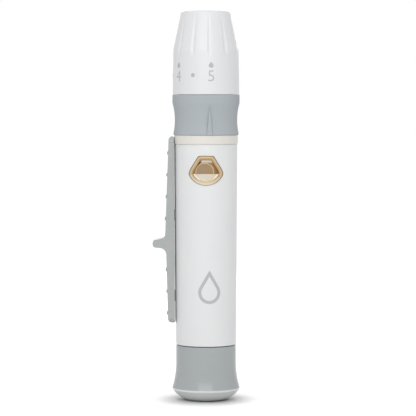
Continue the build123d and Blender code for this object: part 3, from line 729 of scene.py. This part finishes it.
def sliderBlank():
    # the slider seen from its own side, a hair larger, so that no two faces lie on each other
    half = slider["half"] + slider["spare"]
    low, high = slider["bottom"] - slider["spare"], slider["top"] + slider["spare"]
    corners = ((half, low), (half, high), (-half, high), (-half, low))
    ends = roundCorners([(y, z, slider["corner"]) for y, z in corners])
    bm = bmesh.new()
    near = [bm.verts.new((-slider["blankX"] * mm, y * mm, z * mm)) for y, z in ends]
    far = [bm.verts.new((0, v.co.y, v.co.z)) for v in near]
    bm.faces.new(near)
    bm.faces.new(far)
    for i in range(len(near)):
        j = (i + 1) % len(near)
        bm.faces.new((near[i], near[j], far[j], far[i]))
    return toObject("sliderBlank", bm, [greySlider])


def sliderBar():
    # side outline with soft edges, its ends rounded, a groove over the collar's foot, two stems behind
    outline = roundCorners([
        (-slider["innerLowX"], slider["bottom"], 0), (-slider["innerX"], slider["top"], 0),
        (-slider["topX"], slider["top"], slider["topRound"]),
        (-slider["midX"], slider["tabHigh"], slider["upperFillet"]),
        (-slider["tabX"], slider["tipHigh"], slider["tipRound"]),
        (-slider["tabX"], slider["tipLow"], slider["tipRound"]),
        (-slider["lowerX"], slider["tabLow"], slider["lowerFillet"]),
        (-slider["footX"], slider["bottom"], slider["footRound"])], step=1.0)
    bm = bmesh.new()
    caps = prism(bm, outline, (-slider["half"], slider["half"]))
    rims = [edge for face in caps for edge in face.edges]
    bmesh.ops.bevel(bm, geom=rims, offset=slider["round"] * mm, segments=5, profile=0.5, affect="EDGES")
    bar = toObject("sliderBar", bm, [greySlider], sharp=40)
    carve(bar, sliderBlank(), "INTERSECT", 40)
    groove = bmesh.new()
    boxMesh(groove, (-slider["innerX"] - slider["grooveDepth"], -slider["grooveHalf"], slider["grooveZ"]),
            (-slider["innerX"] + 1, slider["grooveHalf"], slider["top"] + 1))
    carve(bar, toObject("sliderGroove", groove, []), "DIFFERENCE", 40)
    stems = bmesh.new()
    for endX, low in slider["stems"]:
        boxMesh(stems, (-slider["innerX"] - slider["stemSunk"], -slider["stemHalf"], low),
                (-endX, slider["stemHalf"], low + slider["stemHeight"]))
    carve(bar, toObject("sliderStems", stems, [greySlider]), "UNION", 40)
    for face in bar.data.polygons:
        face.use_smooth = max(abs(c) for c in face.normal) < 0.9995
    return bar


stand(sliderBar(), "ejector", "grey_slider", "slider")


def gripTree(name, low, high, count, material):
    # round bars across the slider, sunk so that only their backs stand out
    sink = slider["barR"] - slider["barProud"]
    first = (-(sliderFace(low) - sink) * mm, 0, low * mm)
    last = (-(sliderFace(high) - sink) * mm, 0, high * mm)
    tree, given, result = newTree(name, [
        ("Count", "NodeSocketInt", count), ("First", "NodeSocketVector", first),
        ("Last", "NodeSocketVector", last), ("Bar Radius", "NodeSocketFloat", slider["barR"] * mm),
        ("Bar Length", "NodeSocketFloat", 2 * (slider["half"] - slider["round"]) * mm)])
    line = addNode(tree, "GeometryNodeMeshLine", {
        "Count": given.outputs["Count"], "Start Location": given.outputs["First"],
        "Offset": given.outputs["Last"]}, mode="END_POINTS")
    bar = addNode(tree, "GeometryNodeMeshCylinder", {
        "Vertices": 28, "Radius": given.outputs["Bar Radius"], "Depth": given.outputs["Bar Length"]})
    spread = addNode(tree, "GeometryNodeInstanceOnPoints", {
        "Points": line.outputs["Mesh"], "Instance": bar.outputs["Mesh"], "Rotation": (pi / 2, 0, 0)})
    paintReal(tree, spread.outputs["Instances"], material, result)
    return tree


for label, spread in (("gripBarsBelow", slider["barsBelow"]), ("gripBarsAbove", slider["barsAbove"])):
    bars = fromTree(label, gripTree(label + "Tree", *spread, greySlider))
    stand(bars, "ejector", "grey_slider")
print("slider made")


# amber trigger button: raised rim, dished well, shelf in its lower part

def triggerPoint(x, z, depth):
    # a point of the button's round face, pushed in by the depth
    radius = trigger["faceR"] - depth
    return Vector((x, -sqrt(radius ** 2 - x ** 2), trigger["z"] + z)) * mm


# the well behind the window: a round eye over the ledge, a facetted shelf below it
well = {"inset": 1.12, "floor": 0.85, "shelf": 0.42, "slope": 0.24, "step": 0.12, "slices": 44,
        "eyeX": -0.35, "eyeZ": -0.35, "eyeR": 2.45, "ringHalf": 0.17, "ringRise": 0.14, "lightX": -1.2,
        "lightZ": 2.25, "facetHalf": 1.25, "facetWide": 2.75, "facetZ": -2.6, "facetSoft": 0.8,
        "lineHalf": 0.07, "lineDrop": 0.1, "lift": 0.02,
        "shadeFrom": (-2.25, 1.62), "shadeTo": (-1.4, 2.45), "shadeHalf": 0.26, "shadeLift": 0.03}


def shelfShare(x, z):
    # 0 on the shelf's flat middle, 1 at the rim
    lean = (well["facetWide"] - well["facetHalf"]) / (trigger["ledge"] - well["facetZ"])
    aside = (abs(x) - well["facetHalf"] - lean * (z - well["facetZ"])) / sqrt(1 + lean * lean)
    beyond = max(well["facetZ"] - z, aside)
    return max(0.0, min(1.0, beyond / well["facetSoft"]))


def wellDepth(x, z):
    # shelf below the ledge, deeper floor above it, with a short steep step between
    t = max(0.0, min(1.0, (z - trigger["ledge"]) / well["step"] + 0.5))
    return (well["shelf"] - well["slope"] * shelfShare(x, z)) * (1 - t) + well["floor"] * t


# the button's ambers in the order of its material slots
ambers = {"rim": amberRim, "band": amberBand, "edge": amberEdgeShade, "deep": amberDeep, "wall": amberGold,
          "shelf": amberShelf}
amberSlot = {label: n for n, label in enumerate(ambers)}


# painted light and shade in the well: the shelf, and a patch in the upper right past lightX and lightZ,
# take the pale shelf amber as painted light; the rest round the eye takes the brown wall amber as painted
# shade
def wellAmber(x, z):
    if z < trigger["ledge"]:
        return "shelf"
    if (x - well["eyeX"]) ** 2 + (z - well["eyeZ"]) ** 2 < well["eyeR"] ** 2:
        return "deep"
    return "shelf" if z > well["lightZ"] and x > well["lightX"] else "wall"


def buttonMesh():
    # from the outside in: wall, dark edge, light bevel, gold bevel, dark edge, well; the dark edges are
    # painted shade and the light bevel painted light
    bm = bmesh.new()
    rim = [(0.02, 2.4, "edge"), (0.02, 0.44, "edge"), (0.07, 0.32, "edge"), (0.18, 0.24, "rim"),
           (0.5, 0.03, "rim"), (0.58, 0.01, "rim"), (0.64, 0.03, "band"), (0.98, 0.26, "band"),
           (1.04, 0.32, "edge"), (1.1, 0.46, "edge")]
    loops = []
    for inset, depth, label in rim:
        loops.append([bm.verts.new(triggerPoint(x, z, depth)) for x, z in triggerLoop(inset)])
    for n in range(well["slices"]):
        ring = triggerLoop(well["inset"], 1 - n / well["slices"])
        loops.append([bm.verts.new(triggerPoint(x, z, wellDepth(x, z))) for x, z in ring])
    count = trigger["points"]
    for k, (a, b) in enumerate(zip(loops, loops[1:])):
        for i in range(count):
            j = (i + 1) % count
            face = bm.faces.new((a[i], a[j], b[j], b[i]))
            spot = face.calc_center_median() / mm
            label = rim[k][2] if k < len(rim) else wellAmber(spot.x, spot.z - trigger["z"])
            face.material_index = amberSlot[label]
    bm.faces.new(loops[-1]).material_index = amberSlot["deep"]
    back = [bm.verts.new((v.co.x, trigger["backY"] * mm, v.co.z)) for v in loops[0]]
    for i in range(count):
        j = (i + 1) % count
        side = bm.faces.new((back[i], back[j], loops[0][j], loops[0][i]))
        side.material_index = amberSlot["edge"]
    bm.faces.new(back).material_index = amberSlot["edge"]
    return toObject("triggerButton", bm, ambers.values(), sharp=30)


def eyeRing():
    # a rounded bead round the eye, from ledge to ledge
    bm = bmesh.new()
    low = atan2(trigger["ledge"] - well["eyeZ"], well["eyeR"])
    turns, rolls = 60, 8
    rows = []
    for n in range(turns + 1):
        turn = low + (pi - 2 * low) * n / turns
        row = []
        for k in range(rolls + 1):
            roll = pi * k / rolls
            radius = well["eyeR"] + well["ringHalf"] * cos(roll)
            x, z = well["eyeX"] + radius * cos(turn), well["eyeZ"] + radius * sin(turn)
            depth = well["floor"] - well["ringRise"] * sin(roll) + well["lift"]
            row.append(bm.verts.new(triggerPoint(x, z, depth)))
        rows.append(row)
    for a, b in zip(rows, rows[1:]):
        for i in range(rolls):
            bm.faces.new((a[i], a[i + 1], b[i + 1], b[i]))
    return toObject("triggerEyeRing", bm, [amberRim])


def facetShadeLines():
    # painted shade: gold lines along the creases where the shelf's facets meet
    bm = bmesh.new()
    upper = trigger["ledge"] - well["lineDrop"]
    corners = [(-well["facetWide"], upper), (-well["facetHalf"], well["facetZ"]),
               (well["facetHalf"], well["facetZ"]), (well["facetWide"], upper)]
    pieces = 12
    for a, b in zip(corners, corners[1:]):
        way = Vector((b[0] - a[0], b[1] - a[1]))
        side = Vector((-way.y, way.x)).normalized() * well["lineHalf"]
        last = None
        for n in range(pieces + 1):
            spot = Vector(a) + way * n / pieces
            pair = []
            for x, z in (spot - side, spot + side):
                pair.append(bm.verts.new(triggerPoint(x, z, wellDepth(x, z) - well["lift"])))
            if last:
                bm.faces.new((last[0], last[1], pair[1], pair[0]))
            last = pair
    return toObject("triggerFacetShadeLines", bm, [amberBand])


def cornerShade():
    # painted shade: the dark sliver in the well's upper corner, widest near its middle
    bm = bmesh.new()
    depth = well["floor"] - well["shadeLift"]
    pieces, lean = 12, Vector((-0.6, 0.8))
    top, foot = [], []
    for n in range(pieces + 1):
        share = n / pieces
        spot = Vector(well["shadeFrom"]).lerp(Vector(well["shadeTo"]), share)
        half = well["shadeHalf"] * sin(pi * (0.12 + 0.8 * share))
        for row, side in ((top, half), (foot, -half)):
            x, z = spot + lean * side
            row.append(bm.verts.new(triggerPoint(x, z, depth)))
    for i in range(pieces):
        bm.faces.new((top[i], top[i + 1], foot[i + 1], foot[i]))
    return toObject("triggerCornerShade", bm, [amberShade])


stand(buttonMesh(), "trigger", "amber_trigger", "trigger_button")
for piece in (eyeRing(), facetShadeLines(), cornerShade()):
    stand(piece, "trigger", "amber_trigger")
print("button made")


# printed drop outline on the barrel's lower front

mark = {"foot": 27.4, "tall": 9.2, "bulb": 3.1, "line": 0.85, "angle": 6.5,
        "bulbSlices": 60, "flankSlices": 14}


def barrelWall(height):
    share = (height - barrel["bottom"]) / (barrel["top"] - barrel["bottom"])
    return barrel["rearR"] + (barrel["frontR"] - barrel["rearR"]) * share


def dropLoop(bulb):
    # round below, two straight flanks that meet in a point
    lean = asin(mark["bulb"] / (mark["tall"] - mark["bulb"]))
    middle = Vector((0, mark["bulb"], 0))
    tip = middle + Vector((0, bulb / sin(lean), 0))
    slices = mark["bulbSlices"]
    turns = [lean - (pi + 2 * lean) * n / slices for n in range(slices + 1)]
    curve = [middle + Vector((cos(turn), sin(turn), 0)) * bulb for turn in turns]
    flank = [tip.lerp(curve[0], n / mark["flankSlices"]) for n in range(mark["flankSlices"])]
    return flank + curve + [Vector((-p.x, p.y, 0)) for p in reversed(flank[1:])]


def drawDropRing():
    # the drop's outline only, as a band
    bm = bmesh.new()
    outer = [bm.verts.new(p) for p in dropLoop(mark["bulb"])]
    inner = [bm.verts.new(p) for p in dropLoop(mark["bulb"] - mark["line"])]
    for i in range(len(outer)):
        j = (i + 1) % len(outer)
        bm.faces.new((outer[i], outer[j], inner[j], inner[i]))
    return bm


dropMark = wrapPrint("barrelDrop", drawDropRing(), barrelWall, mark["angle"], mark["foot"], inkGrey)
stand(dropMark, "body", "white_body")
print("drop printed")


# the inside keeps its CAD shape and gets its real materials

inside = {naturalAcetal: ("rear_bush", "click_ring", "pull_tube", "lancet_carrier", "sear_plate",
                          "ejector_arm"),
          springSteel: ("spring_washer", "slider_clip"),
          blackRubber: ("detent_ring",)}
for material, names in inside.items():
    for name in names:
        for place in nodes[name].material_slots:
            place.material = material
print("inside painted")


# coil springs as smooth copies of the CAD coils; the table gives for each the piece and point at each end

springs = {"drive_spring": ("handle", (0, 0, 45.1), "carrier", (0, 0, 58.3)),
           "return_spring": ("carrier", (0, 0, 37.4), "handle", (0, 0, 42.4)),
           "handle_spring": ("body", (0, 0, 22.05), "handle", (0, 0, 42.4)),
           "ejector_spring": ("ejector", (0, 0, 53.06), "body", (0, 0, 69.04)),
           "trigger_spring": ("trigger", (0, 4.4, 63.9), "body", (0, 7.15, 63.9))}


def coilSpring(name):
    bm = bmesh.new()
    bm.from_mesh(nodes[name].data)
    bmesh.ops.transform(bm, verts=bm.verts, matrix=nodes[name].matrix_world)
    bmesh.ops.remove_doubles(bm, verts=bm.verts, dist=1e-6)
    return toObject(name + "Coil", bm, [springSteel], sharp=50)


for name, (near, nearEnd, far, farEnd) in springs.items():
    coil = coilSpring(name)
    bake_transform(coil)
    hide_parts(name)
print("springs wound")


# floor, light and camera

def seenOnly(tree):
    # 1 where the camera, a gloss or a clear piece looks, 0 for the light that falls on the object
    path = addNode(tree, "ShaderNodeLightPath")
    seen = path.outputs["Is Camera Ray"]
    for label in ("Is Glossy Ray", "Is Transmission Ray"):
        either = addNode(tree, "ShaderNodeMath", {0: seen, 1: path.outputs[label]}, operation="MAXIMUM")
        seen = either.outputs["Value"]
    return seen


def plainFloor():
    # pale paper that is seen as white and keeps the close shadow under the pen
    bm = bmesh.new()
    bmesh.ops.create_grid(bm, x_segments=1, y_segments=1, size=3.0)
    material, tree, shader = newMaterial("floorPaperPale")
    near = addNode(tree, "ShaderNodeAmbientOcclusion", {"Distance": 12 * mm}, samples=16)
    deep = addNode(tree, "ShaderNodeMapRange", {
        "Value": near.outputs["AO"], "From Min": 0.7, "From Max": 0.985, "To Max": 0.43})
    whiten = addNode(tree, "ShaderNodeMath", {
        0: deep.outputs["Result"], 1: seenOnly(tree)}, operation="MULTIPLY")
    fill(tree, shader, {
        "Base Color": linear("E8E8E8"), "Roughness": 0.9, "Specular IOR Level": 0.1,
        "Emission Color": (1, 1, 1, 1), "Emission Strength": whiten.outputs["Value"]})
    return toObject("floor", bm, [material])


plainFloor()

world = bpy.data.worlds.new("studio")
bpy.context.scene.world = world
world.use_nodes = True
sky = world.node_tree
room = sky.nodes["Background"]
fill(sky, room, {"Color": (1, 1, 1, 1), "Strength": 0.56})
seen = addNode(sky, "ShaderNodeBackground", {"Color": (1, 1, 1, 1), "Strength": 1.0})
choose = addNode(sky, "ShaderNodeMixShader", {
    "Fac": seenOnly(sky), 1: room.outputs["Background"], 2: seen.outputs["Background"]})
fill(sky, sky.nodes["World Output"], {"Surface": choose.outputs["Shader"]})


def hangLamp(name, kind, power, place, aim):
    light = bpy.data.lights.new(name, kind)
    light.energy = power
    lamp = bpy.data.objects.new(name, light)
    bpy.context.scene.collection.objects.link(lamp)
    lamp.visible_camera = False
    lamp.location = place
    lamp.rotation_euler = (Vector(aim) - Vector(place)).to_track_quat("-Z", "Y").to_euler()
    return light


# a wide sky of paper over the table, a screen over the camera, which fades down the barrel, and one behind
hangLamp("topScreen", "SUN", 0.6, (-0.05, -0.2, 1.0), (0, 0, 0)).angle = radians(60)
screens = {"frontScreen": (0.52, (-0.02, -0.36, 0.2)), "backScreen": (0.4, (0.05, 0.4, 0.2))}
for label, (power, place) in screens.items():
    screen = hangLamp(label, "AREA", power, place, (0, 0, 0.06))
    screen.shape = "RECTANGLE"
    screen.size = 0.34
    screen.size_y = 0.16

view = {"focal": 2256.0, "frame": 416.0, "place": (0.00055, -0.624, 0.086), "lookZ": 0.0533}
camera = bpy.data.cameras.new("photoCamera")
camera.sensor_fit = "HORIZONTAL"
camera.sensor_width = 36.0
camera.lens = camera.sensor_width * view["focal"] / view["frame"]
camera.clip_start = 0.01
shooter = bpy.data.objects.new("photoCamera", camera)
bpy.context.scene.collection.objects.link(shooter)
shooter.location = view["place"]
down = atan2(view["place"][2] - view["lookZ"], -view["place"][1])
shooter.rotation_euler = (pi / 2 - down, 0, 0)
bpy.context.scene.camera = shooter
bpy.context.scene.view_settings.view_transform = "Standard"
print("stage set")
